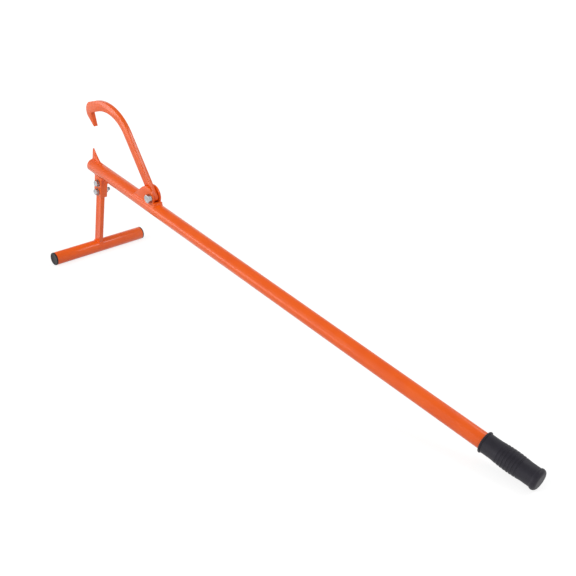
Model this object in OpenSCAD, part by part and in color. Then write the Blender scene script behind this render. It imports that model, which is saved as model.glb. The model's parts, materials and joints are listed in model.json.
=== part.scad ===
// Log lifter: a long steel bar with a swinging cant hook and a fixed spike at its head,
// a bolted T stand under the head and a rubber grip at its butt.
// Every sub-part is drawn in the bar's own frame: X runs along the bar's axis from the head
// end to the butt, Z points up out of the bar on the hook's side, and Y = 0 is its middle
// plane. on_floor() then tips the whole tool on to its stand and grip. Millimetres.

/* [Handle] */
// Length from the head end of the bar to the butt of the grip
overall_l = 1220; // [900:5:1600]
// Outside diameter of the bar
bar_d = 30; // [26:0.5:34]
// Wall of the bar's tube
bar_wall = 2.5; // [1.5:0.1:4]
// Thickness of the disc that closes the bar's head end
end_disc_t = 3; // [2:0.5:6]
// How far that disc is set back inside the end
end_disc_set = 1; // [0:0.5:4]

/* [Grip] */
// Length of the grip that shows, flange to butt
grip_l = 107; // [90:1:140]
// Rubber past the end of the bar
grip_end_t = 4; // [3:0.5:8]
// Plain diameter of the sleeve
grip_d = 35.2; // [34.5:0.1:40]
// Greatest diameter of the barrel under the palm
grip_barrel_d = 38.6; // [38:0.1:44]
// Length of that barrel
grip_barrel_l = 56; // [40:1:60]
// Middle of the barrel, back from the flange
grip_barrel_x = 52; // [40:1:55]
// Diameter of the flange at the grip's mouth
grip_flange_d = 39.4; // [37:0.1:46]
// Width of that flange
grip_flange_w = 3.4; // [2:0.1:6]
// Diameter of the bead at the butt
grip_end_d = 38.4; // [37:0.1:46]
// Radius of the bead's rounded edge
grip_end_r = 6.5; // [3:0.5:8]
// Number of grooves round the barrel
groove_n = 7; // [1:1:8]
// Spacing of the grooves
groove_pitch = 6; // [5:0.1:6.5]
// Width of a groove at the surface
groove_w = 3; // [1:0.1:4]
// Depth of a groove
groove_depth = 1.1; // [0.4:0.1:1.3]

/* [Spike] */
// Thickness of the spike's plate
spike_t = 4; // [3:0.5:8]
// Height of the spike's point above the bar
spike_h = 27; // [15:1:40]
// Length of the spike's foot along the bar
spike_l = 32; // [20:1:50]
// Setback of the spike's front edge from the end of the bar
spike_set = 1.5; // [0:0.5:10]
// Setback of the point from the foot of the front edge
spike_rake = 0.5; // [0:0.5:8]
// Hollow of the sloping back edge
spike_hollow = 1.5; // [0.5:0.5:4]

/* [Hook pivot] */
// Distance of the pivot from the head end of the bar
pivot_x = 231.5; // [215:0.5:300]
// Height of the pivot above the top of the bar
pivot_h = 10; // [10:0.5:16]
// Thickness of one ear of the clevis
ear_t = 4; // [3:0.5:6]
// Gap between the ears
ear_gap = 14; // [12.5:0.5:16]
// Radius of the ears' round back
ear_r = 24; // [22:0.5:28]
// Setback of the round's centre ahead of the pivot
ear_ahead = 12.5; // [9:0.5:13]
// Height of the round's centre above the top of the bar
ear_rise = 7; // [5:0.5:10]
// Slope of the ears' front edge
ear_slope = 45.5; // [35:0.5:50]
// Height of the tie that joins the ears, above the top of the bar
tie_h = 2.4; // [1.5:0.1:3]
// Distance from the pivot to the back of the tie
tie_back = 16.5; // [16:0.5:24]
// Length of the tie along the bar
tie_l = 7; // [5:0.5:8]

/* [Cant hook] */
// Thickness of the hook's steel
hook_t = 10; // [8:0.5:12]
// Width of the shank
hook_w = 18; // [16:0.5:18.5]
// Angle between the shank and the bar as the tool stands
hook_lean = 45; // [40:1:60]
// Straight length of the shank, pivot to bend
hook_straight = 146.2; // [120:0.1:180]
// How much further out the inside of the bend starts
bend_lag = 1.7; // [0:0.1:4]
// Inside radius of the bend
hook_in_r = 86; // [70:1:100]
// Outside radius of the bend
hook_out_r = 115; // [100:1:125]
// Turn of the bend
hook_turn = 71; // [60:1:80]
// Straight inside length between the bend and the beak
arm_l = 29.5; // [20:0.5:40]
// Length of the beak, square to the arm
beak_l = 31; // [20:0.5:40]
// Width of the flat at the beak's tip
beak_tip = 1.5; // [0.5:0.5:4]
// Radius of the crown over the beak
crown_r = 20.7; // [19:0.1:21]
// Setback of the crown's centre from the beak's inner edge
crown_set = 2; // [0:0.5:4]
// Setback of the crown's centre from the arm's inner edge
crown_drop = 3; // [1:0.5:6]
// How far the arm's outer corner stands past the beak's inner edge
corner_past = 2.2; // [1:0.1:5]

/* [Stand] */
// Distance of the stand from the head end of the bar
stand_x = 36; // [32:1:60]
// Drop from the bar's axis to the foot's axis
stand_drop = 200; // [150:1:300]
// Width of the stem along the bar
stem_w = 20; // [16:0.5:24]
// Thickness of the stem across the bar
stem_t = 10; // [8:0.5:12]
// Radius of the stem's long edges
stem_edge = 1; // [0.5:0.1:2]
// Outside diameter of the foot's tube
foot_d = 30; // [26:0.5:34]
// Wall of the foot's tube
foot_wall = 2.5; // [1.5:0.1:4]
// Length of the foot's tube
foot_l = 240; // [160:1:320]
// Thickness of the foot caps' heads
cap_head = 3; // [2:0.5:5]
// Length of the foot caps' plugs
cap_plug = 14; // [8:1:20]
// Thickness of the bracket's plate
bracket_t = 3.5; // [2.5:0.5:4]
// Radius of the bracket's long edges
bracket_edge = 1.2; // [0.5:0.1:2]
// Length of bracket that stands ahead of the stem
bracket_lip = 3.5; // [2:0.5:6]
// Drop from the bar's axis to the bracket's lower edge
bracket_drop = 63; // [58:1:90]
// Drop from the bar's axis to the upper stand bolt
bolt_drop = 29.5; // [28:0.5:34]
// Spacing of the two stand bolts
bolt_pitch = 22; // [18:0.5:24]

/* [Fasteners] */
// Diameter of the hook's bolt
hook_bolt_d = 10; // [8:1:10]
// Width across the flats of its head and nut
hook_bolt_af = 17; // [16:0.5:18]
// Height of its head
hook_bolt_head = 6.4; // [5:0.1:7]
// Outside diameter of its spring washer
hook_washer_d = 18; // [17:0.5:20]
// Thickness of its spring washer
hook_washer_t = 2.2; // [1.5:0.1:3]
// Diameter of the stand's bolts
stand_bolt_d = 8; // [6:1:8]
// Width across the flats of their heads and nuts
stand_bolt_af = 13; // [12:0.5:14]
// Height of their heads
stand_bolt_head = 5.3; // [4:0.1:6]
// Height of their nuts
stand_nut_h = 6.5; // [5:0.1:8]
// Outside diameter of their washers
stand_washer_d = 16; // [14.5:0.5:17]
// Thickness of their washers
stand_washer_t = 1.6; // [1:0.1:2]
// Length of the stand's bolts that shows past each nut
bolt_end = 7; // [1:0.5:9]
// Length of the hook's bolt that shows past the far ear
hook_bolt_end = 1; // [0:0.5:3]

/* [Fits and welds] */
// Running clearance on radius between the hook's eye and its bolt
pivot_clear = 0.08; // [0.02:0.01:0.1]
// Clearance on radius round a bolt in a drilled hole
drill_clear = 0.2; // [0.1:0.05:0.3]
// Clearance at each side of the stem in its bracket
stem_clear = 0.25; // [0.1:0.05:0.3]
// Least clearance between the hook's heel and the bar
heel_clear = 0.8; // [0.3:0.1:1]
// Leg of the weld beads
weld_w = 2.6; // [1.5:0.1:3.5]

/* [Hidden] */
$fn = 96;

paint = "#E8602C";
zinc = "#C9CCD0";
rubber = "#2B2B2E";
plastic = "#35363A";

// An overlap, so that a cut passes right through a face
cut = 0.5;
// A hair by which a line starts inside the curve that it runs on from
hair = 0.02;
// How far the hook's straight lengths run into its bend
lap = 1.8;

bar_r = bar_d / 2;
bar_tube_l = overall_l - grip_end_t;
grip_front = overall_l - grip_l;
foot_r = foot_d / 2;
pivot_z = bar_r + pivot_h;

// The tip of the whole tool: the line under the foot tube and the bead at the butt
bead_x = overall_l - grip_end_r;
bead_z = -(grip_end_d / 2 - grip_end_r);
rest_run = bead_x - stand_x;
rest_rise = bead_z + stand_drop;
tilt = atan2(rest_rise, rest_run)
    + asin((foot_r - grip_end_r) / sqrt(rest_run * rest_run + rest_rise * rest_rise));

// The hook's own plane: u runs out along the shank from the pivot and v to the mouth's side
heel_r = min(hook_w / 2, pivot_h - heel_clear);
bend_end_in = [hook_straight + bend_lag + hook_in_r * sin(hook_turn),
    hook_w / 2 + hook_in_r * (1 - cos(hook_turn))];
bend_end_out = [hook_straight + hook_out_r * sin(hook_turn),
    -hook_w / 2 + hook_out_r * (1 - cos(hook_turn))];
// The arm's own axes at the end of the bend: along it, and square to it towards the mouth
arm_dir = [cos(hook_turn), sin(hook_turn)];
mouth_dir = [-sin(hook_turn), cos(hook_turn)];
beak_root_at = bend_end_in + arm_l * arm_dir;
arm_w = (bend_end_in - bend_end_out) * mouth_dir;
crown_at = beak_root_at - crown_set * arm_dir - crown_drop * mouth_dir;
corner_at = beak_root_at + corner_past * arm_dir - arm_w * mouth_dir;
beak_tip_at = beak_root_at + beak_l * mouth_dir;
beak_flat_at = beak_tip_at + beak_tip * arm_dir;

// Where a line from p touches the circle (c, r), on the side that the sign gives
function touch(p, c, r, side) = let(d = norm(p - c), a = atan2(p[1] - c[1], p[0] - c[0]))
    c + r * [cos(a + side * acos(r / d)), sin(a + side * acos(r / d))];
crown_back = touch(corner_at, crown_at, crown_r - hair, 1);
crown_front = touch(beak_flat_at, crown_at, crown_r - hair, -1);

// The floor's level and the middle of the tool's length, in the tipped frame
function tipped_x(p) = p[0] * cos(tilt) + p[1] * sin(tilt);
function tipped_z(p) = -p[0] * sin(tilt) + p[1] * cos(tilt);
function hook_to_bar(p) = [pivot_x - p[0] * cos(hook_lean) - p[1] * sin(hook_lean),
    pivot_z + p[0] * sin(hook_lean) - p[1] * cos(hook_lean)];
low_x = min(tipped_x([0, -bar_r]), tipped_x([stand_x, -stand_drop]) - foot_r,
    tipped_x(hook_to_bar(corner_at)), tipped_x(hook_to_bar(crown_at)) - crown_r);
high_x = tipped_x([bead_x, -bead_z]) + grip_end_r;
floor_z = tipped_z([stand_x, -stand_drop]) - foot_r;

// Across the bar: the faces that the fasteners seat on
ear_in = ear_gap / 2;
ear_out = ear_in + ear_t;
bracket_in = stem_t / 2 + stem_clear;
bracket_out = bracket_in + bracket_t;
bracket_web_in = stem_w / 2 + stem_clear;
stand_grip = 2 * bracket_out;
bolt_drops = [bolt_drop, bolt_drop + bolt_pitch];

// The ears' outline: a round back, a straight front edge that leaves it at a tangent
ear_at = [pivot_x - ear_ahead, bar_r + ear_rise];
ear_tangent = ear_at + (ear_r - hair) * [-sin(ear_slope), cos(ear_slope)];
ear_front = ear_tangent - (ear_tangent[1] - bar_r / 2) * [1 / tan(ear_slope), 1];
tie_end = pivot_x + tie_back;

// Tips the tool on to its stand and its grip, over the middle of its length
module on_floor() {
    translate([-(low_x + high_x) / 2, 0, -floor_z]) rotate([0, tilt, 0]) children();
}

// A cylinder along the bar, from x0 over length l
module rod_x(x0, l, r) {
    translate([x0, 0, 0]) rotate([0, 90, 0]) cylinder(h = l, r = r);
}

// A cylinder across the bar at (x, z), from y0 over length l
module rod_y(x, z, y0, l, r) {
    translate([x, y0 + l, z]) rotate([90, 0, 0]) cylinder(h = l, r = r);
}

// Extrudes outlines drawn in the X-Z plane to thickness t, centred on the middle plane
module plate_xz(t) {
    translate([0, t / 2, 0]) rotate([90, 0, 0])
        for (k = [0:$children - 1]) linear_extrude(t) children(k);
}

// Turns a profile drawn as (distance along, radius) about the bar's axis
module turned_x() {
    rotate([0, 90, 0]) rotate_extrude() mirror([1, -1, 0]) children();
}

// A rectangle with rounded corners, centred
module soft_rect(w, h, r) {
    square([w - 2 * r, h], center = true);
    square([w, h - 2 * r], center = true);
    for (x = [-1, 1], y = [-1, 1])
        translate([x * (w / 2 - r), y * (h / 2 - r)]) circle(r);
}

// The bar's solid core, which everything welded to it is coped to
module bar_core() {
    rod_x(-cut, overall_l, bar_r);
}

// A hexagon bar with chamfered corners at the faces that ask for it
module hexagon(af, h, chamfer_top, chamfer_bottom) {
    corner = af / cos(30) / 2;
    drop = (corner - af / 2) * 0.6;
    intersection() {
        cylinder(h = h, r = corner, $fn = 6);
        rotate_extrude() polygon([[0, 0],
            [chamfer_bottom ? af / 2 : corner, 0], [corner, chamfer_bottom ? drop : 0],
            [corner, chamfer_top ? h - drop : h], [chamfer_top ? af / 2 : corner, h], [0, h]]);
    }
}

// Places a fastener across the bar at (x, z) so that its own Z runs along +Y from y
module across(x, z, y) {
    translate([x, y, z]) rotate([-90, 0, 0]) children();
}

// A bolt whose head's seat is at Z = 0, with its shank along +Z
module bolt(d, l, af, head) {
    point = 0.12 * d;
    mirror([0, 0, 1]) hexagon(af, head, true, false);
    rotate_extrude() polygon([[0, -head / 2], [d / 2, -head / 2], [d / 2, l - point],
        [d / 2 - point, l], [0, l]]);
}

module washer(od, id, t) {
    difference() {
        cylinder(h = t, d = od);
        translate([0, 0, -cut]) cylinder(h = t + 2 * cut, d = id);
    }
}

module plain_nut(d, af, h) {
    difference() {
        hexagon(af, h, true, true);
        translate([0, 0, -cut]) cylinder(h = h + 2 * cut, d = d);
    }
}

module handle_bar() {
    color(paint) difference() {
        rod_x(0, bar_tube_l, bar_r);
        rod_x(-cut, bar_tube_l + 2 * cut, bar_r - bar_wall);
    }
}

module bar_end_disc() {
    color(paint) rod_x(end_disc_set, end_disc_t, bar_r - bar_wall);
}

// The grip's outline above its axis, from the flange at X = 0 to the butt
module grip_profile() {
    barrel_rise = (grip_barrel_d - grip_d) / 2;
    half = grip_barrel_l / 2;
    barrel_r = (half * half + barrel_rise * barrel_rise) / (2 * barrel_rise);
    flange_r = grip_flange_w / 2;
    bead_r = grip_end_d / 2;
    groove_r = (groove_w * groove_w / 4 + groove_depth * groove_depth) / (2 * groove_depth);
    difference() {
        union() {
            square([grip_l - grip_end_r, grip_d / 2]);
            square([grip_l, bead_r - grip_end_r]);
            intersection() {
                translate([grip_barrel_x, grip_barrel_d / 2 - barrel_r]) circle(barrel_r, $fn = 360);
                translate([grip_barrel_x - half, 0]) square([grip_barrel_l, grip_barrel_d]);
            }
            translate([flange_r, grip_flange_d / 2 - flange_r]) circle(flange_r);
            square([grip_flange_w, grip_flange_d / 2 - flange_r]);
            translate([grip_l - grip_end_r, bead_r - grip_end_r]) circle(grip_end_r);
        }
        for (k = [0:groove_n - 1]) {
            x = grip_barrel_x + (k - (groove_n - 1) / 2) * groove_pitch;
            drop = barrel_r - sqrt(barrel_r * barrel_r - pow(x - grip_barrel_x, 2));
            translate([x, grip_barrel_d / 2 - drop + groove_r - groove_depth]) circle(groove_r);
        }
        translate([-cut, -cut]) square([grip_l - grip_end_t + cut, bar_r + cut]);
    }
}

module rubber_grip() {
    color(rubber) translate([grip_front, 0, 0]) turned_x() grip_profile();
}

// The spike's outline, drawn down to the bar's axis to be coped
module spike_outline() {
    foot = spike_set + spike_l;
    point = [spike_set + spike_rake, bar_r + spike_h];
    back = [foot, bar_r];
    // The back edge is hollowed by a large circle through both of its ends
    chord = norm(back - point);
    hollow_r = (chord * chord / 4 + spike_hollow * spike_hollow) / (2 * spike_hollow);
    side = [point[1] - back[1], back[0] - point[0]] / chord;
    difference() {
        polygon([[spike_set, 0], [spike_set, bar_r], point, back, [foot, 0]]);
        translate((point + back) / 2 + (hollow_r - spike_hollow) * side) circle(hollow_r, $fn = 360);
    }
}

module log_spike() {
    color(paint) difference() {
        plate_xz(spike_t) spike_outline();
        bar_core();
    }
}

// The height of the bar's surface over its axis at y
function bar_top(y) = sqrt(bar_r * bar_r - y * y);

// Fillet beads along both sides of a piece half_w wide that stands on the bar over x0 to x1
module side_beads(x0, x1, half_w, leg) {
    outer = half_w + leg;
    for (side = [0, 1]) mirror([0, side, 0])
        translate([x0, 0, 0]) rotate([90, 0, 90]) linear_extrude(x1 - x0)
            polygon([[half_w, bar_top(half_w) - 1], [outer, bar_top(outer) - 1],
                [outer, bar_top(outer)], [half_w + 0.6 * leg, bar_top(half_w + 0.6 * leg) + 0.55 * leg],
                [half_w, bar_top(half_w) + leg]]);
}

// A fillet bead round the bar against a face at x, as wide as the piece and to one side of it
module end_bead(x, half_w, leg, side) {
    intersection() {
        translate([x, 0, 0]) rotate([0, 90, 0]) rotate_extrude()
            polygon([[bar_r - 1, 0], [bar_r + leg, 0], [bar_r + 0.55 * leg, side * 0.6 * leg],
                [bar_r, side * leg], [bar_r - 1, side * leg]]);
        translate([x - leg - cut, -half_w, 0]) cube([2 * (leg + cut), 2 * half_w, 2 * bar_r]);
    }
}

module spike_weld() {
    leg = 0.8 * weld_w;
    color(paint) difference() {
        union() {
            side_beads(spike_set, spike_set + spike_l, spike_t / 2, leg);
            end_bead(spike_set + spike_l, spike_t / 2 + 0.6 * leg, leg, 1);
        }
        bar_core();
        plate_xz(spike_t) spike_outline();
    }
}

// The ears, drawn down to the bar's axis to be coped: a round, its sloping front edge that
// runs on at a tangent, and the foot that reaches back to the tie
module ears_blank() {
    far = 4 * ear_r;
    intersection() {
        plate_xz(2 * ear_out) {
            translate(ear_at) circle(ear_r);
            polygon([ear_front, ear_tangent, ear_at + [1, 1], [ear_at[0] + 1, ear_front[1]]]);
            translate([ear_at[0], 0]) square([tie_end - ear_at[0], bar_r + tie_h]);
        }
        translate([ear_front[0], -far, ear_front[1]]) cube([far, 2 * far, far]);
    }
}

module hook_clevis() {
    color(paint) difference() {
        ears_blank();
        // The slot that the hook swings in, closed behind by the tie
        translate([ear_front[0] - cut, -ear_in, 0])
            cube([tie_end - tie_l - ear_front[0] + cut, 2 * ear_in, 3 * ear_r]);
        translate([tie_end - tie_l - cut, -ear_in, bar_r + tie_h])
            cube([tie_l + ear_r, 2 * ear_in, 3 * ear_r]);
        bar_core();
        rod_y(pivot_x, pivot_z, -ear_out - cut, ear_t + 2 * cut, hook_bolt_d / 2 + drill_clear);
        // The far ear is tapped for the bolt
        rod_y(pivot_x, pivot_z, ear_in - cut, ear_t + 2 * cut, hook_bolt_d / 2);
    }
}

module clevis_weld() {
    color(paint) difference() {
        union() {
            side_beads(ear_front[0] + 5, tie_end, ear_out, 0.8 * weld_w);
            end_bead(tie_end, ear_out, 0.8 * weld_w, 1);
        }
        bar_core();
    }
}

// The hook's eye and its shank, which runs a little way into the bend
module hook_shank() {
    edge = hook_w / 2 - hair;
    translate([0, -edge]) square([hook_straight + lap, 2 * edge]);
}

// The bend lies between two circles and between its own two end lines
module hook_bend() {
    centre_in = [hook_straight + bend_lag, hook_w / 2 + hook_in_r];
    centre_out = [hook_straight, -hook_w / 2 + hook_out_r];
    far = 2 * hook_out_r;
    intersection() {
        difference() {
            translate(centre_out) circle(hook_out_r, $fn = 240);
            translate(centre_in) circle(hook_in_r, $fn = 240);
        }
        polygon([centre_in, bend_end_in, bend_end_out, bend_end_out - far * mouth_dir,
            [hook_straight + far, -far], [hook_straight, -far], [hook_straight, 0],
            [centre_in[0], hook_w / 2]]);
    }
}

// The arm and the beak that it ends in
module hook_arm() {
    polygon([bend_end_in - lap * arm_dir - hair * mouth_dir, beak_root_at - hair * mouth_dir,
        beak_root_at, beak_tip_at, beak_flat_at, crown_front, crown_back,
        corner_at + hair * mouth_dir, bend_end_out - lap * arm_dir + hair * mouth_dir]);
}

// The crown rounds off the back of the beak
module hook_crown() {
    far = 2 * hook_out_r;
    intersection() {
        translate(crown_at) circle(crown_r);
        translate(beak_root_at) rotate(hook_turn) translate([cut, -far / 2]) square(far);
    }
}

module cant_hook() {
    color(paint) translate([pivot_x, 0, pivot_z]) rotate([0, hook_lean, 0]) difference() {
        mirror([1, 0, 0]) mirror([0, 0, 1]) plate_xz(hook_t) {
            circle(heel_r);
            hook_shank();
            hook_bend();
            hook_arm();
            hook_crown();
        }
        rod_y(0, 0, -hook_t / 2 - cut, hook_t + 2 * cut, hook_bolt_d / 2 + pivot_clear);
    }
}

module hook_bolt() {
    color(zinc) across(pivot_x, pivot_z, -ear_out - hook_washer_t)
        bolt(hook_bolt_d, hook_washer_t + 2 * ear_out + hook_bolt_end, hook_bolt_af, hook_bolt_head);
}

module hook_bolt_washer() {
    color(zinc) across(pivot_x, pivot_z, -ear_out - hook_washer_t)
        washer(hook_washer_d, hook_bolt_d + 2 * drill_clear, hook_washer_t);
}

// The bracket's section: a channel, open towards the head end, round the stem
module bracket_section() {
    front = -stem_w / 2 - bracket_lip;
    back = bracket_web_in + bracket_t;
    difference() {
        union() {
            translate([front, -bracket_out]) square([back - bracket_edge - front, 2 * bracket_out]);
            translate([0, bracket_edge - bracket_out])
                square([back, 2 * (bracket_out - bracket_edge)]);
            for (side = [-1, 1])
                translate([back - bracket_edge, side * (bracket_out - bracket_edge)])
                    circle(bracket_edge);
        }
        translate([front - cut, -bracket_in])
            square([bracket_web_in - front + cut, 2 * bracket_in]);
    }
}

module bracket_blank() {
    translate([stand_x, 0, -bracket_drop]) linear_extrude(bracket_drop) bracket_section();
}

module stand_bracket() {
    color(paint) difference() {
        bracket_blank();
        bar_core();
        for (drop = bolt_drops)
            rod_y(stand_x, -drop, -bracket_out - cut, 2 * (bracket_out + cut),
                stand_bolt_d / 2 + drill_clear);
    }
}

module bracket_weld() {
    front = stand_x - stem_w / 2 - bracket_lip;
    back = stand_x + bracket_web_in + bracket_t;
    color(paint) difference() {
        mirror([0, 0, 1]) {
            side_beads(front, back - bracket_edge, bracket_out, 0.8 * weld_w);
            end_bead(back, bracket_out - bracket_edge, 0.8 * weld_w, 1);
        }
        bar_core();
    }
}

// The stem's flat bar, drawn down to the foot's axis to be coped
module stem_blank() {
    top = -bar_r - 2;
    translate([stand_x, 0, -stand_drop]) linear_extrude(stand_drop + top)
        soft_rect(stem_w, stem_t, stem_edge);
}

module foot_core() {
    rod_y(stand_x, -stand_drop, -foot_l / 2, foot_l, foot_r);
}

module stand_stem() {
    color(paint) difference() {
        stem_blank();
        foot_core();
        for (drop = bolt_drops)
            rod_y(stand_x, -drop, -stem_t, 2 * stem_t, stand_bolt_d / 2 + drill_clear);
    }
}

// The height of the foot's surface over its axis at a distance x from it
function foot_top(x) = sqrt(foot_r * foot_r - x * x);

module stand_weld() {
    half_w = stem_w / 2;
    outer = half_w + weld_w;
    color(paint) difference() {
        translate([stand_x, 0, -stand_drop]) {
            // Straight beads against the stem's narrow faces
            for (side = [0, 1]) mirror([side, 0, 0])
                translate([0, stem_t / 2 + 0.6 * weld_w, 0]) rotate([90, 0, 0])
                    linear_extrude(stem_t + 1.2 * weld_w)
                        polygon([[half_w, foot_top(half_w) - 1], [outer, foot_top(outer) - 1],
                            [outer, foot_top(outer)],
                            [half_w + 0.6 * weld_w, foot_top(half_w + 0.6 * weld_w) + 0.55 * weld_w],
                            [half_w, foot_top(half_w) + weld_w]]);
            // Beads over the curve against its wide faces
            intersection() {
                for (side = [0, 1]) mirror([0, side, 0])
                    translate([0, stem_t / 2, 0]) rotate([-90, 0, 0]) rotate_extrude()
                        polygon([[foot_r - 1, 0], [foot_r + weld_w, 0],
                            [foot_r + 0.55 * weld_w, 0.6 * weld_w], [foot_r, weld_w],
                            [foot_r - 1, weld_w]]);
                translate([-half_w, -foot_l / 2, 0]) cube([stem_w, foot_l, 2 * foot_r]);
            }
        }
        foot_core();
        stem_blank();
    }
}

module foot_tube() {
    color(paint) difference() {
        foot_core();
        rod_y(stand_x, -stand_drop, -foot_l / 2 - cut, foot_l + 2 * cut, foot_r - foot_wall);
    }
}

// A plug with a round-edged head, its outer face at Z = 0 and its plug along +Z
module foot_cap() {
    edge = cap_head / 3;
    dish_r = foot_r - foot_wall;
    rotate_extrude() difference() {
        union() {
            square([foot_r - edge, cap_head]);
            translate([0, edge]) square([foot_r, cap_head - edge]);
            translate([foot_r - edge, edge]) circle(edge);
            square([foot_r - foot_wall, cap_head + cap_plug]);
        }
        translate([-cut, -cut]) square([dish_r - edge + cut, edge / 2 + cut]);
        translate([-cut, cap_head]) square([dish_r - 2 + cut, cap_plug + cut]);
        translate([-foot_r, -cut]) square([foot_r, cap_head + cap_plug + 2 * cut]);
    }
}

module foot_cap_left() {
    color(plastic) across(stand_x, -stand_drop, -foot_l / 2 - cap_head) foot_cap();
}

module foot_cap_right() {
    color(plastic) mirror([0, 1, 0]) across(stand_x, -stand_drop, -foot_l / 2 - cap_head) foot_cap();
}

module stand_bolt(drop) {
    l = stand_grip + 2 * stand_washer_t + stand_nut_h + bolt_end;
    color(zinc) across(stand_x, -drop, -bracket_out - stand_washer_t)
        bolt(stand_bolt_d, l, stand_bolt_af, stand_bolt_head);
}

module stand_nut(drop) {
    color(zinc) across(stand_x, -drop, bracket_out + stand_washer_t)
        plain_nut(stand_bolt_d, stand_bolt_af, stand_nut_h);
}

module upper_stand_bolt() { stand_bolt(bolt_drops[0]); }
module lower_stand_bolt() { stand_bolt(bolt_drops[1]); }
module upper_stand_nut() { stand_nut(bolt_drops[0]); }
module lower_stand_nut() { stand_nut(bolt_drops[1]); }

module stand_washers(y) {
    color(zinc) for (drop = bolt_drops)
        across(stand_x, -drop, y)
            washer(stand_washer_d, stand_bolt_d + 2 * drill_clear, stand_washer_t);
}

module stand_bolt_washers() { stand_washers(-bracket_out - stand_washer_t); }
module stand_nut_washers() { stand_washers(bracket_out); }

on_floor() handle_bar();
on_floor() bar_end_disc();
on_floor() rubber_grip();
on_floor() log_spike();
on_floor() spike_weld();
on_floor() hook_clevis();
on_floor() clevis_weld();
on_floor() cant_hook();
on_floor() hook_bolt();
on_floor() hook_bolt_washer();
on_floor() stand_bracket();
on_floor() bracket_weld();
on_floor() stand_stem();
on_floor() stand_weld();
on_floor() foot_tube();
on_floor() foot_cap_left();
on_floor() foot_cap_right();
on_floor() upper_stand_bolt();
on_floor() lower_stand_bolt();
on_floor() upper_stand_nut();
on_floor() lower_stand_nut();
on_floor() stand_bolt_washers();
on_floor() stand_nut_washers();
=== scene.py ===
"""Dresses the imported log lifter: eased steel plate and tube in orange powder coat, rippled weld
beads, zinc-plated bolts with real threads, a moulded rubber grip and plastic foot plugs."""

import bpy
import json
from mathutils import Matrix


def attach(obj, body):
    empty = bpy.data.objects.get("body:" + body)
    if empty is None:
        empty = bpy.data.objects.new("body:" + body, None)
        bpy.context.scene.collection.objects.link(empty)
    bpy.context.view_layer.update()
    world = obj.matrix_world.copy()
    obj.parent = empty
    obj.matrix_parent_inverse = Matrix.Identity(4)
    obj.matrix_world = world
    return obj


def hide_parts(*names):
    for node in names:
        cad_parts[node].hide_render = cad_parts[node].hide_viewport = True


bl_info = {
    "name": "Log lifter",
    "version": (1, 0, 0),
    "blender": (4, 5, 0),
    "location": "View3D > Sidebar > Lifter",
    "description": "Builds the finished look of a log lifter around its packed frame",
    "category": "Object",
}

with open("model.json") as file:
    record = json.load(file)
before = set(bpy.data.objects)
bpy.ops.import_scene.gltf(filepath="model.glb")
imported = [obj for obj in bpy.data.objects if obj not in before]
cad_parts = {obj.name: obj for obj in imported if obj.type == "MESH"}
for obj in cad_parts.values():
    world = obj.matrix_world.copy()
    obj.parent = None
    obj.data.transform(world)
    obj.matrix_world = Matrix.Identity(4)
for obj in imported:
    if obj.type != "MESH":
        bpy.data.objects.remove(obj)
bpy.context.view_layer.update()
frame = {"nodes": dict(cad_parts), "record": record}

import json
import math

import bmesh
import bpy
from mathutils import Matrix, Vector

MM = 0.001
TURN = 2 * math.pi
BODY = "frame"
SEGMENTS = 72


def from_hex(code):
    """Turns an sRGB hex colour into the linear colour that a shader takes."""
    channels = [int(code[i:i + 2], 16) / 255 for i in (1, 3, 5)]
    return [c / 12.92 if c <= 0.04045 else ((c + 0.055) / 1.055) ** 2.4 for c in channels]


# The bar's own axes, read from the frame: X from the head end to the butt, Z on the hook's side
BUTT = next(m for m in frame["record"]["mounts"] if m["name"] == "butt_face")
ALONG = Vector(BUTT["axis"]).normalized()
RISE = Vector((-ALONG.z, 0, ALONG.x))
BAR_L = 1220
BAR_R = 15
HEAD = Vector(BUTT["pos_m"]) - ALONG * BAR_L * MM
BAR_FRAME = Matrix((
    (ALONG.x * MM, 0, RISE.x * MM, HEAD.x),
    (0, MM, 0, 0),
    (ALONG.z * MM, 0, RISE.z * MM, HEAD.z),
    (0, 0, 0, 1),
))

# Places in the bar's frame, in millimetres, as the frame has them
PIVOT_X, PIVOT_Z = 231.5, 25
EAR_OUT, EAR_FOOT, TIE_END = 11, 176, 248
STAND_X, STAND_DROP, FOOT_R = 36, 200, 15
BRACKET_OUT, BRACKET_FRONT, BRACKET_BACK = 8.75, 22.5, 49.75
BOLT_DROPS = (29.5, 51.5)
SPIKE_HALF, SPIKE_FROM, SPIKE_TO = 2, 1.5, 33.5
STEM_HALF_W, STEM_HALF_T = 10, 5

# The camera as it was fitted to the photograph, in millimetres
SENSOR_W, LENS = 36, 53.845
FLOOR_REACH = 30


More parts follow.
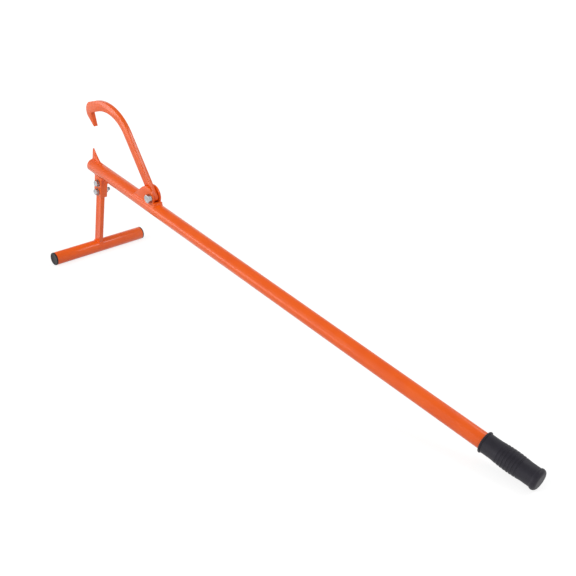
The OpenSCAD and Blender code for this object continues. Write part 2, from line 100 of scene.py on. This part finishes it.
class LifterSettings(bpy.types.PropertyGroup):
    """Sizes and colours of the finish that a user would change."""

    plate_edge: bpy.props.FloatProperty(
        name="Plate edge", description="Radius of the dressed edges of cut plate, in millimetres",
        default=0.7, min=0.1, max=1.2)
    bead_pitch: bpy.props.FloatProperty(
        name="Bead pitch", description="Spacing of the ripples of a weld bead, in millimetres",
        default=1.9, min=0.8, max=4)
    thread_pitch: bpy.props.FloatProperty(
        name="Thread pitch", description="Pitch of the M8 threads, in millimetres",
        default=1.25, min=0.8, max=2)
    peel_size: bpy.props.FloatProperty(
        name="Peel size", description="Size of the powder coat's orange peel, in millimetres",
        default=2.6, min=0.5, max=8)
    paint: bpy.props.FloatVectorProperty(
        name="Paint", description="Colour of the powder coat", subtype="COLOR", size=3,
        min=0, max=1, default=from_hex("#F9640D"))
    paint_thin: bpy.props.FloatVectorProperty(
        name="Thin paint", description="Colour where the powder coat lies thinner",
        subtype="COLOR", size=3, min=0, max=1, default=from_hex("#F35D0B"))
    zinc: bpy.props.FloatVectorProperty(
        name="Zinc", description="Colour of the zinc plate", subtype="COLOR", size=3,
        min=0, max=1, default=from_hex("#BFC2C6"))
    rubber: bpy.props.FloatVectorProperty(
        name="Rubber", description="Colour of the grip", subtype="COLOR", size=3,
        min=0, max=1, default=from_hex("#29272F"))
    plug: bpy.props.FloatVectorProperty(
        name="Plug", description="Colour of the foot's plugs", subtype="COLOR", size=3,
        min=0, max=1, default=from_hex("#1D1C1F"))


def settings():
    return bpy.context.scene.lifter


def rgba(colour, gain=1.0):
    return [min(1.0, c * gain) for c in colour] + [1.0]


def add(tree, kind, inputs=None, **options):
    """Adds one node with its options, and fills its sockets with values or with links."""
    node = tree.nodes.new("ShaderNode" + kind)
    for key, value in options.items():
        setattr(node, key, value)
    for socket, value in (inputs or {}).items():
        if isinstance(value, bpy.types.NodeSocket):
            tree.links.new(value, node.inputs[socket])
        else:
            node.inputs[socket].default_value = value
    return node


def new_material(name):
    material = bpy.data.materials.new(name)
    material.use_nodes = True
    material.node_tree.nodes.clear()
    return material, material.node_tree


def per_mm(size):
    """A noise scale whose features are about that many millimetres wide."""
    return 1000 / size


def powder_coat():
    """Polyester powder coat baked on steel: satin, with a faint orange peel."""
    name = "polyester powder coat, orange"
    if name in bpy.data.materials:
        return bpy.data.materials[name]
    material, tree = new_material(name)
    s = settings()
    place = add(tree, "TexCoord").outputs["Object"]
    # The film is thicker here and thinner there, over some 45 mm, so the orange drifts a little
    drift = add(tree, "TexNoise", {"Vector": place, "Scale": per_mm(45), "Detail": 3.0})
    film = add(tree, "MapRange", {"Value": drift.outputs["Fac"], "From Min": 0.35,
                                  "From Max": 0.65})
    colour = add(tree, "Mix", {"Factor": film.outputs["Result"], 6: rgba(s.paint_thin),
                               7: rgba(s.paint)}, data_type="RGBA")
    # Real peel is 1 to 3 mm across; it breaks up the gloss more than it shows as bumps
    peel = add(tree, "TexNoise", {"Vector": place, "Scale": per_mm(s.peel_size), "Detail": 2.0})
    grit = add(tree, "TexNoise", {"Vector": place, "Scale": per_mm(0.5), "Detail": 1.0})
    gloss = add(tree, "MapRange", {"Value": peel.outputs["Fac"], "To Min": 0.27, "To Max": 0.32})
    waves = add(tree, "Bump", {"Height": peel.outputs["Fac"], "Strength": 0.04,
                               "Distance": 0.1 * MM})
    grain = add(tree, "Bump", {"Height": grit.outputs["Fac"], "Strength": 0.06,
                               "Distance": 0.02 * MM, "Normal": waves.outputs["Normal"]})
    shader = add(tree, "BsdfPrincipled", {
        "Base Color": colour.outputs[2], "Roughness": gloss.outputs["Result"],
        "IOR": 1.5, "Normal": grain.outputs["Normal"]})
    add(tree, "OutputMaterial", {"Surface": shader.outputs["BSDF"]})
    return material


def zinc_plate():
    """Bright zinc electroplate over rolled steel: a metal with a soft, slightly cloudy shine."""
    name = "zinc electroplate, bright"
    if name in bpy.data.materials:
        return bpy.data.materials[name]
    material, tree = new_material(name)
    s = settings()
    place = add(tree, "TexCoord").outputs["Object"]
    # The passivated film clouds the shine in patches of about 3 mm
    cloud = add(tree, "TexNoise", {"Vector": place, "Scale": per_mm(3), "Detail": 4.0})
    colour = add(tree, "Mix", {"Factor": cloud.outputs["Fac"], 6: rgba(s.zinc, 0.72),
                               7: rgba(s.zinc)}, data_type="RGBA")
    rough = add(tree, "MapRange", {"Value": cloud.outputs["Fac"], "From Min": 0.3,
                                   "From Max": 0.7, "To Min": 0.2, "To Max": 0.38})
    # Marks of the forming dies, 0.4 mm apart
    marks = add(tree, "TexNoise", {"Vector": place, "Scale": per_mm(0.4), "Detail": 2.0})
    bump = add(tree, "Bump", {"Height": marks.outputs["Fac"], "Strength": 0.2,
                              "Distance": 0.04 * MM})
    shader = add(tree, "BsdfPrincipled", {
        "Base Color": colour.outputs[2], "Metallic": 1.0, "Roughness": rough.outputs["Result"],
        "Normal": bump.outputs["Normal"]})
    add(tree, "OutputMaterial", {"Surface": shader.outputs["BSDF"]})
    return material


def grip_rubber():
    """Moulded synthetic rubber: near black, matt, lighter grey in random patches that are partly
    dust and partly a painted sheen.
    """
    name = "moulded rubber, black"
    if name in bpy.data.materials:
        return bpy.data.materials[name]
    material, tree = new_material(name)
    s = settings()
    place = add(tree, "TexCoord").outputs["Object"]
    dust_and_sheen = add(tree, "TexNoise", {"Vector": place, "Scale": per_mm(12), "Detail": 5.0})
    # Lighter grey in random patches of about 12 mm: partly dust, partly a painted sheen; the same
    # noise also varies the roughness
    colour = add(tree, "Mix", {"Factor": dust_and_sheen.outputs["Fac"], 6: rgba(s.rubber, 0.8),
                               7: rgba(s.rubber, 1.3)}, data_type="RGBA")
    # The mould's sparked skin has a grain of 0.3 mm; it is drawn at 0.8 mm so that it shows
    skin = add(tree, "TexNoise", {"Vector": place, "Scale": per_mm(0.8), "Detail": 2.0})
    bump = add(tree, "Bump", {"Height": skin.outputs["Fac"], "Strength": 0.3,
                              "Distance": 0.12 * MM})
    rough = add(tree, "MapRange", {"Value": dust_and_sheen.outputs["Fac"], "To Min": 0.42, "To Max": 0.6})
    shader = add(tree, "BsdfPrincipled", {
        "Base Color": colour.outputs[2], "Roughness": rough.outputs["Result"], "IOR": 1.52,
        "Specular IOR Level": 0.3,
        "Normal": bump.outputs["Normal"]})
    add(tree, "OutputMaterial", {"Surface": shader.outputs["BSDF"]})
    return material


def plug_plastic():
    """Moulded polyethylene: dark, slightly waxy, with a soft wide shine."""
    name = "moulded polyethylene, black"
    if name in bpy.data.materials:
        return bpy.data.materials[name]
    material, tree = new_material(name)
    s = settings()
    place = add(tree, "TexCoord").outputs["Object"]
    flow = add(tree, "TexNoise", {"Vector": place, "Scale": per_mm(6), "Detail": 4.0})
    colour = add(tree, "Mix", {"Factor": flow.outputs["Fac"], 6: rgba(s.plug, 0.8),
                               7: rgba(s.plug, 1.2)}, data_type="RGBA")
    bump = add(tree, "Bump", {"Height": flow.outputs["Fac"], "Strength": 0.15,
                              "Distance": 0.2 * MM})
    rough = add(tree, "MapRange", {"Value": flow.outputs["Fac"], "To Min": 0.38, "To Max": 0.52})
    shader = add(tree, "BsdfPrincipled", {
        "Base Color": colour.outputs[2], "Roughness": rough.outputs["Result"], "IOR": 1.51,
        "Specular IOR Level": 0.3,
        "Normal": bump.outputs["Normal"]})
    add(tree, "OutputMaterial", {"Surface": shader.outputs["BSDF"]})
    return material


FINISHES = {
    "orange_paint": powder_coat,
    "zinc": zinc_plate,
    "grip_rubber": grip_rubber,
    "cap_plastic": plug_plastic,
}


def finish_piece(name, mesh, slot, nodes, body=BODY):
    """Shows a mesh as a named piece that stands for its CAD nodes and moves with a body."""
    piece = bpy.data.objects.new(name, mesh)
    bpy.context.scene.collection.objects.link(piece)
    mesh.materials.clear()
    mesh.materials.append(FINISHES[slot]())
    for polygon in mesh.polygons:
        polygon.use_smooth = True
    mesh.set_sharp_from_angle(angle=math.radians(32))
    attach(piece, body)
    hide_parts(*nodes)
    return piece


def eased(name, node, edge, slot, body=BODY, least=28):
    """A CAD node with its faces made whole and its sharp edges rounded, as a dressed piece."""
    mesh = frame["nodes"][node].data.copy()
    mesh.name = name
    for layer in ("custom_normal", "sharp_face"):
        if layer in mesh.attributes:
            mesh.attributes.remove(mesh.attributes[layer])
    form = bmesh.new()
    form.from_mesh(mesh)
    bmesh.ops.remove_doubles(form, verts=form.verts, dist=0.05 * MM)
    bmesh.ops.dissolve_degenerate(form, edges=form.edges, dist=0.02 * MM)
    bmesh.ops.dissolve_limit(form, angle_limit=math.radians(0.5), verts=form.verts,
                             edges=form.edges)
    sharp = [e for e in form.edges
             if len(e.link_faces) == 2 and e.calc_face_angle(0) > math.radians(least)]
    if edge > 0:
        bmesh.ops.bevel(form, geom=sharp, offset=edge * MM, segments=2, profile=0.5,
                        affect="EDGES", clamp_overlap=False)
    form.to_mesh(mesh)
    form.free()
    return finish_piece(name, mesh, slot, [node], body)


def skinned(rings, closed=True):
    """Faces between rings of points: capped at both ends, or joined end to end."""
    form = bmesh.new()
    loops = [[form.verts.new(point) for point in ring] for ring in rings]
    count = len(loops[0])
    pairs = list(zip(loops, loops[1:]))
    if not closed:
        pairs.append((loops[-1], loops[0]))
    for low, high in pairs:
        for i in range(count):
            j = (i + 1) % count
            form.faces.new((low[i], low[j], high[j], high[i]))
    if closed:
        form.faces.new(loops[0][::-1])
        form.faces.new(loops[-1])
    bmesh.ops.recalc_face_normals(form, faces=form.faces)
    return form


def gather(name, forms, places):
    """Joins several forms, each in its own place, into one mesh in the row frame."""
    mesh = bpy.data.meshes.new(name)
    whole = bmesh.new()
    for form, place in zip(forms, places):
        part = bpy.data.meshes.new("part")
        form.transform(place)
        form.to_mesh(part)
        form.free()
        whole.from_mesh(part)
        bpy.data.meshes.remove(part)
    whole.to_mesh(mesh)
    whole.free()
    return mesh


def across(x, y, z):
    """A place for something that stands across the bar, with its own Z along +Y."""
    return BAR_FRAME @ Matrix.Translation((x, y, z)) @ Matrix.Rotation(-TURN / 4, 4, "X")


def circle(radius, height):
    """One ring of points; the radius may be a function of the angle."""
    ring = []
    for i in range(SEGMENTS):
        a = TURN * i / SEGMENTS
        r = radius(a) if callable(radius) else radius
        ring.append((r * math.cos(a), r * math.sin(a), height))
    return ring


def hexagon(across_flats, cone):
    """The outline of a hexagon whose corners a chamfer's cone has cut back."""
    def radius(angle):
        flat = across_flats / 2 / math.cos(angle % (TURN / 6) - TURN / 12)
        return min(flat, cone)
    return radius


def chamfer_rings(across_flats, top, towards):
    """Rings of a hexagon's chamfered end face, from its rim to its full corners."""
    corner = across_flats / math.sqrt(3) * 0.992
    drop = (corner - across_flats / 2) * 0.6
    steps = 6
    return [circle(hexagon(across_flats,
                           across_flats / 2 * 0.97
                           + (corner - across_flats / 2 * 0.97) * k / steps),
                   top + towards * drop * k / steps) for k in range(steps + 1)]


def bolt(diameter, length, across_flats, head, thread_from, pitch):
    """A hexagon bolt: dished and chamfered head, plain shank, cut thread and pointed end."""
    dish = across_flats * 0.3
    rings = [circle(dish * 0.8, 0.55 - head), circle(dish * 0.95, 0.4 - head),
             circle(dish, 0.12 - head), circle(dish * 1.08, -head)]
    rings += chamfer_rings(across_flats, -head, 1)
    rings.append(circle(hexagon(across_flats, across_flats / math.sqrt(3) * 0.992), -0.15))
    rings.append(circle(across_flats / 2 * 0.96, 0))
    r = diameter / 2
    rings += [circle(r, 0.0), circle(r, thread_from)]
    depth = 0.54 * pitch
    steps = 10
    last = int((length - thread_from) / pitch * steps)
    for k in range(1, last + 1):
        z = thread_from + k * pitch / steps
        point = max(0, z - (length - 0.12 * diameter)) * 0.9
        fade = min(1, k / steps)

        def radius(angle, z=z, point=point, fade=fade):
            phase = (z / pitch - angle / TURN) % 1
            flank = min(1, max(0, abs(phase - 0.5) * 2.4 - 0.1))
            return min(r - depth * (1 - flank) * fade, r - point)
        rings.append(circle(radius, z))
    return skinned(rings)


def nut(diameter, across_flats, height):
    """A hexagon nut, chamfered on both faces and at both mouths of its bore."""
    r = diameter / 2 - 0.45
    low = chamfer_rings(across_flats, 0, 1)
    high = chamfer_rings(across_flats, height, -1)[::-1]
    mouth = diameter / 2 + 0.25
    rings = [circle(r, 0.7), circle(mouth, 0.0)] + low + high
    rings += [circle(mouth, height), circle(r, height - 0.7)]
    return skinned(rings, closed=False)


def flat_washer(outer, inner, thick):
    """A stamped washer: its upper edge is rolled over, its lower edge is crisp."""
    roll = 0.3
    return skinned([
        circle(inner / 2, 0.1), circle(inner / 2 + 0.1, 0.0), circle(outer / 2 - 0.1, 0.0),
        circle(outer / 2, 0.1), circle(outer / 2, thick - roll),
        circle(outer / 2 - roll * 0.3, thick - roll * 0.3), circle(outer / 2 - roll, thick),
        circle(inner / 2 + roll, thick), circle(inner / 2, thick - roll)], closed=False)


def spring_washer(outer, inner, thick):
    """A split washer: a flattened turn of square wire, cut on a slant."""
    rings = []
    steps = 96
    gap = 0.16
    for k in range(steps + 1):
        ring = []
        for r, z in ((inner / 2, 0.15), (inner / 2 + 0.15, 0), (outer / 2 - 0.15, 0),
                     (outer / 2, 0.15), (outer / 2, 0.85), (outer / 2 - 0.15, 1),
                     (inner / 2 + 0.15, 1), (inner / 2, 0.85)):
            slant = (z - 0.5) * 0.22
            a = gap + slant + (TURN - 2 * gap) * k / steps + TURN / 8
            ring.append((r * math.cos(a), r * math.sin(a), z * thick))
        rings.append(ring)
    return skinned(rings)


def bead(section, length, seed):
    """A weld bead: a fillet section drawn along its line, swelling once for each ripple."""
    pitch = settings().bead_pitch
    steps = max(8, int(length / pitch * 6))
    rings = []
    for k in range(steps + 1):
        way = k / steps
        phase = (way * length / pitch + 0.37 * seed) % 1
        swell = 0.86 + 0.12 * (1 - phase) ** 0.6 + 0.02 * math.sin(9.1 * way * length + seed)
        ends = min(1, way * length / 1.2 + 0.55, (1 - way) * length / 1.2 + 0.55)
        rings.append(section(way, swell * ends))
    return skinned(rings)


def bar_top(y):
    return math.sqrt(BAR_R ** 2 - y ** 2)


def fillet(near, leg, surface):
    """A convex fillet's section: toe, crown and shoulder against a wall near the middle."""
    arc = [(1.0, 0.0), (0.88, 0.3), (0.66, 0.62), (0.34, 0.86), (0.0, 1.0)]
    points = [(near - 0.6, surface(near) - 1), (near + leg, surface(near + leg) - 1)]
    points += [(near + a * leg, surface(near + a * leg) + b * leg) for a, b in arc]
    points.append((near - 0.6, surface(near) + leg * 0.9))
    return points


def side_bead(x0, x1, half, leg, side, below, seed):
    """A bead along the bar, against the side of a piece that stands on it."""
    sign = -1 if below else 1

    def section(way, swell):
        x = x0 + (x1 - x0) * way
        return [(x, side * y, sign * z) for y, z in fillet(half, leg * swell, bar_top)]
    return bead(section, x1 - x0, seed)


def end_bead(x, half, leg, below, seed):
    """A bead over the round of the bar, against a face that looks along it."""
    sweep = math.asin(min(1, half / BAR_R))
    sign = -1 if below else 1

    def section(way, swell):
        a = sweep * (2 * way - 1)
        ring = []
        for out, r in fillet(0, leg * swell, lambda _: BAR_R):
            ring.append((x + out, r * math.sin(a), sign * r * math.cos(a)))
        return ring
    return bead(section, 2 * sweep * BAR_R, seed)


def foot_top(x):
    return math.sqrt(FOOT_R ** 2 - x ** 2)


def stem_side_bead(side, leg, seed):
    """A straight bead on the foot tube, against the stem's narrow face."""
    half = STEM_HALF_T + 0.6 * leg

    def section(way, swell):
        y = half * (2 * way - 1)
        return [(STAND_X + side * x, y, z - STAND_DROP)
                for x, z in fillet(STEM_HALF_W, leg * swell, foot_top)]
    return bead(section, 2 * half, seed)


def stem_face_bead(side, leg, seed):
    """A bead over the round of the foot tube, against the stem's wide face."""
    sweep = math.asin(STEM_HALF_W / FOOT_R)

    def section(way, swell):
        a = sweep * (2 * way - 1)
        return [(STAND_X + r * math.sin(a), side * (STEM_HALF_T + out),
                 r * math.cos(a) - STAND_DROP)
                for out, r in fillet(0, leg * swell, lambda _: FOOT_R)]
    return bead(section, 2 * sweep * FOOT_R, seed)


class LIFTER_OT_handle_bar(bpy.types.Operator):
    """Dress the bar's tube and the disc welded into its head end"""
    bl_idname = "lifter.handle_bar"
    bl_label = "Handle bar"

    def execute(self, context):
        eased("bar_tube", "handle_bar", 0.5, "orange_paint")
        eased("head_disc", "bar_end_disc", 0.3, "orange_paint")
        return {"FINISHED"}


class LIFTER_OT_rubber_grip(bpy.types.Operator):
    """Dress the moulded grip with its flange, grooved barrel and closed butt"""
    bl_idname = "lifter.rubber_grip"
    bl_label = "Rubber grip"

    def execute(self, context):
        eased("moulded_grip", "rubber_grip", 0, "grip_rubber")
        return {"FINISHED"}


class LIFTER_OT_log_spike(bpy.types.Operator):
    """Dress the flame-cut spike at the head end"""
    bl_idname = "lifter.log_spike"
    bl_label = "Log spike"

    def execute(self, context):
        eased("spike_plate", "log_spike", 0.4, "orange_paint")
        return {"FINISHED"}


class LIFTER_OT_hook_clevis(bpy.types.Operator):
    """Dress the two ears and the tie that carry the hook"""
    bl_idname = "lifter.hook_clevis"
    bl_label = "Hook clevis"

    def execute(self, context):
        eased("clevis_ears", "hook_clevis", 0.6, "orange_paint")
        return {"FINISHED"}


class LIFTER_OT_cant_hook(bpy.types.Operator):
    """Dress the swinging hook, cut from thick plate"""
    bl_idname = "lifter.cant_hook"
    bl_label = "Cant hook"

    def execute(self, context):
        eased("hook_plate", "cant_hook", settings().plate_edge, "orange_paint", body="hook")
        return {"FINISHED"}


class LIFTER_OT_hook_bolt(bpy.types.Operator):
    """Build the hook's bolt and the spring washer under its head"""
    bl_idname = "lifter.hook_bolt"
    bl_label = "Hook bolt"

    def execute(self, context):
        thick = 2.2
        place = across(PIVOT_X, -EAR_OUT - thick, PIVOT_Z)
        form = bolt(10, thick + 2 * EAR_OUT + 1, 17, 6.4, thick + 19, 1.5)
        finish_piece("pivot_bolt", gather("pivot_bolt", [form], [place]), "zinc", ["hook_bolt"])
        ring = spring_washer(18, 10.4, thick)
        finish_piece("split_washer", gather("split_washer", [ring], [place.copy()]), "zinc",
                     ["hook_bolt_washer"])
        return {"FINISHED"}


class LIFTER_OT_stand_bracket(bpy.types.Operator):
    """Dress the folded channel under the head end"""
    bl_idname = "lifter.stand_bracket"
    bl_label = "Stand bracket"

    def execute(self, context):
        eased("bracket_channel", "stand_bracket", 0.5, "orange_paint")
        return {"FINISHED"}


class LIFTER_OT_stand_stem(bpy.types.Operator):
    """Dress the flat bar that carries the foot"""
    bl_idname = "lifter.stand_stem"
    bl_label = "Stand stem"

    def execute(self, context):
        eased("stem_bar", "stand_stem", 0.3, "orange_paint")
        return {"FINISHED"}


class LIFTER_OT_foot_tube(bpy.types.Operator):
    """Dress the foot's cross tube"""
    bl_idname = "lifter.foot_tube"
    bl_label = "Foot tube"

    def execute(self, context):
        eased("foot_cross_tube", "foot_tube", 0.4, "orange_paint")
        return {"FINISHED"}


class LIFTER_OT_foot_plugs(bpy.types.Operator):
    """Dress the plastic plugs in the foot's ends"""
    bl_idname = "lifter.foot_plugs"
    bl_label = "Foot plugs"

    def execute(self, context):
        for side in ("left", "right"):
            eased("foot_plug_" + side, "foot_cap_" + side, 0.25, "cap_plastic")
        return {"FINISHED"}


class LIFTER_OT_stand_fasteners(bpy.types.Operator):
    """Build the stand's two M8 bolts, their nuts and their washers"""
    bl_idname = "lifter.stand_fasteners"
    bl_label = "Stand fasteners"

    def execute(self, context):
        washer_t, nut_h, past = 1.6, 6.5, 7
        pitch = settings().thread_pitch
        seat = -BRACKET_OUT - washer_t
        length = 2 * BRACKET_OUT + 2 * washer_t + nut_h + past
        for name, drop in zip(("upper", "lower"), BOLT_DROPS):
            form = bolt(8, length, 13, 5.3, length - 18, pitch)
            mesh = gather(name + "_m8_bolt", [form], [across(STAND_X, seat, -drop)])
            finish_piece(name + "_m8_bolt", mesh, "zinc", [name + "_stand_bolt"])
            form = nut(8, 13, nut_h)
            mesh = gather(name + "_m8_nut", [form],
                          [across(STAND_X, BRACKET_OUT + washer_t, -drop)])
            finish_piece(name + "_m8_nut", mesh, "zinc", [name + "_stand_nut"])
        for name, node, y in (("bolt_washers", "stand_bolt_washers", seat),
                              ("nut_washers", "stand_nut_washers", BRACKET_OUT)):
            forms = [flat_washer(16, 8.4, washer_t) for _ in BOLT_DROPS]
            places = [across(STAND_X, y, -drop) for drop in BOLT_DROPS]
            finish_piece(name, gather(name, forms, places), "zinc", [node])
        return {"FINISHED"}


class LIFTER_OT_weld_beads(bpy.types.Operator):
    """Build the painted weld beads that join the steel pieces"""
    bl_idname = "lifter.weld_beads"
    bl_label = "Weld beads"

    def execute(self, context):
        leg = 2.6
        fine = 0.8 * leg
        groups = {
            "spike_beads": ("spike_weld", [
                side_bead(SPIKE_FROM, SPIKE_TO, SPIKE_HALF, fine, 1, False, 1),
                side_bead(SPIKE_FROM, SPIKE_TO, SPIKE_HALF, fine, -1, False, 2),
                end_bead(SPIKE_TO, SPIKE_HALF + 0.6 * fine, fine, False, 3)]),
            "clevis_beads": ("clevis_weld", [
                side_bead(EAR_FOOT, TIE_END, EAR_OUT, fine, 1, False, 4),
                side_bead(EAR_FOOT, TIE_END, EAR_OUT, fine, -1, False, 5),
                end_bead(TIE_END, EAR_OUT, fine, False, 6)]),
            "bracket_beads": ("bracket_weld", [
                side_bead(BRACKET_FRONT, BRACKET_BACK - 1.2, BRACKET_OUT, fine, 1, True, 7),
                side_bead(BRACKET_FRONT, BRACKET_BACK - 1.2, BRACKET_OUT, fine, -1, True, 8),
                end_bead(BRACKET_BACK, BRACKET_OUT - 1.2, fine, True, 9)]),
            "foot_beads": ("stand_weld", [
                stem_side_bead(1, leg, 10), stem_side_bead(-1, leg, 11),
                stem_face_bead(1, leg, 12), stem_face_bead(-1, leg, 13)]),
        }
        for name, (node, forms) in groups.items():
            mesh = gather(name, forms, [BAR_FRAME] * len(forms))
            finish_piece(name, mesh, "orange_paint", [node])
        return {"FINISHED"}


def floor_material():
    """Matt white studio floor that shows the object's shadow, and is else white as the back."""
    material, tree = new_material("studio floor, matt white")
    paths = add(tree, "LightPath").outputs
    seen = add(tree, "Math", {0: paths["Is Camera Ray"], 1: paths["Is Glossy Ray"]},
               operation="MAXIMUM")
    seen = add(tree, "Math", {0: seen.outputs[0], 1: paths["Is Transmission Ray"]},
               operation="MAXIMUM")
    plain = add(tree, "BsdfDiffuse", {"Color": rgba(from_hex("#CCCCCC"))})
    shaded = add(tree, "BsdfDiffuse", {"Color": rgba([0.3, 0.3, 0.3])})
    # The lamps fade with distance, so the floor makes up for them away from the object
    place = add(tree, "TexCoord").outputs["Object"]
    reach = add(tree, "VectorMath", {0: place}, operation="LENGTH")
    lift = add(tree, "MapRange", {"Value": reach.outputs["Value"], "From Min": 0.9,
                                  "From Max": 3.0, "To Min": 0.8, "To Max": 1.0})
    glow = add(tree, "Emission", {"Color": (1, 1, 1, 1), "Strength": lift.outputs["Result"]})
    white = add(tree, "AddShader", {0: shaded.outputs[0], 1: glow.outputs[0]})
    mixed = add(tree, "MixShader", {0: seen.outputs[0], 1: plain.outputs[0], 2: white.outputs[0]})
    add(tree, "OutputMaterial", {"Surface": mixed.outputs[0]})
    return material


def lamp(name, place, target, size, power):
    """Hangs a rectangular area lamp at one place and aims it at another."""
    data = bpy.data.lights.new(name, "AREA")
    data.shape = "RECTANGLE"
    data.size, data.size_y = size
    data.energy = power
    light = bpy.data.objects.new(name, data)
    bpy.context.scene.collection.objects.link(light)
    light.location = place
    light.rotation_euler = (Vector(target) - Vector(place)).to_track_quat("-Z", "Y").to_euler()
    return light


class LIFTER_OT_stage(bpy.types.Operator):
    """Build the floor, the lamps, the world and the camera"""
    bl_idname = "lifter.stage"
    bl_label = "Stage"

    def execute(self, context):
        scene = context.scene
        mesh = bpy.data.meshes.new("studio_floor")
        corners = [(x * FLOOR_REACH, y * FLOOR_REACH, 0)
                   for x, y in ((-1, -1), (1, -1), (1, 1), (-1, 1))]
        mesh.from_pydata(corners, [], [(0, 1, 2, 3)])
        mesh.materials.append(floor_material())
        floor = bpy.data.objects.new("studio_floor", mesh)
        scene.collection.objects.link(floor)

        # A wide soft wash from the left lights the paint, and the strips draw its gloss
        wash = lamp("wash", (-0.7, -3.4, 2.6), (0, 0, 0.1), (3.0, 2.4), 82)
        wash.visible_glossy = False
        lamp("strip over the foot", (1.15, 1.4, 2.0), (-0.4, 0, 0.1), (1.6, 0.12), 17)
        low = lamp("strip along the bar", (-1.65, -2.0, 0.35), (0, 0, 0.2), (2.4, 0.5), 14)
        low.visible_diffuse = False

        world = bpy.data.worlds.new("white studio")
        scene.world = world
        world.use_nodes = True
        tree = world.node_tree
        tree.nodes.clear()
        paths = add(tree, "LightPath").outputs
        seen = add(tree, "Math", {0: paths["Is Camera Ray"], 1: paths["Is Glossy Ray"]},
                   operation="MAXIMUM")
        seen = add(tree, "Math", {0: seen.outputs[0], 1: paths["Is Transmission Ray"]},
                   operation="MAXIMUM")
        # What is seen is white up to some way over the horizon, and a dim ceiling above that
        way = add(tree, "SeparateXYZ", {"Vector": add(tree, "TexCoord").outputs["Generated"]})
        ceiling = add(tree, "MapRange", {"Value": way.outputs["Z"], "From Min": 0.3,
                                         "From Max": 0.55, "To Min": 1.0, "To Max": 0.3},
                      interpolation_type="SMOOTHSTEP")
        level = add(tree, "Mix", {0: seen.outputs[0], 2: 0.5, 3: ceiling.outputs["Result"]})
        back = add(tree, "Background", {"Color": (1, 1, 1, 1), "Strength": level.outputs[0]})
        add(tree, "OutputWorld", {"Surface": back.outputs[0]})

        data = bpy.data.cameras.new("photo view")
        data.sensor_width = SENSOR_W
        data.sensor_fit = "HORIZONTAL"
        data.lens = LENS
        camera = bpy.data.objects.new("photo view", data)
        scene.collection.objects.link(camera)
        camera.matrix_world = Matrix((
            (0.705681, -0.337353, 0.623062, 1.059675),
            (0.707713, 0.293405, -0.642695, -1.044229),
            (0.034006, 0.894487, 0.445799, 0.865796),
            (0, 0, 0, 1)))
        scene.camera = camera
        scene.view_settings.view_transform = "Standard"
        return {"FINISHED"}


PIECES = (
    LIFTER_OT_handle_bar, LIFTER_OT_rubber_grip, LIFTER_OT_log_spike, LIFTER_OT_hook_clevis,
    LIFTER_OT_cant_hook, LIFTER_OT_hook_bolt, LIFTER_OT_stand_bracket, LIFTER_OT_stand_stem,
    LIFTER_OT_foot_tube, LIFTER_OT_foot_plugs, LIFTER_OT_stand_fasteners, LIFTER_OT_weld_beads,
    LIFTER_OT_stage,
)


class LIFTER_PT_panel(bpy.types.Panel):
    """The sizes, the colours and one button for each piece"""
    bl_idname = "LIFTER_PT_panel"
    bl_label = "Log lifter"
    bl_space_type = "VIEW_3D"
    bl_region_type = "UI"
    bl_category = "Lifter"

    def draw(self, context):
        column = self.layout.column()
        for name in LifterSettings.__annotations__:
            column.prop(context.scene.lifter, name)
        for piece in PIECES:
            column.operator(piece.bl_idname)


CLASSES = (LifterSettings, *PIECES, LIFTER_PT_panel)


def register():
    for cls in CLASSES:
        bpy.utils.register_class(cls)
    bpy.types.Scene.lifter = bpy.props.PointerProperty(type=LifterSettings)


def unregister():
    del bpy.types.Scene.lifter
    for cls in reversed(CLASSES):
        bpy.utils.unregister_class(cls)


def main():
    register()
    for piece in PIECES:
        group, name = piece.bl_idname.split(".")
        getattr(getattr(bpy.ops, group), name)()


if __name__ == "__main__":
    main()
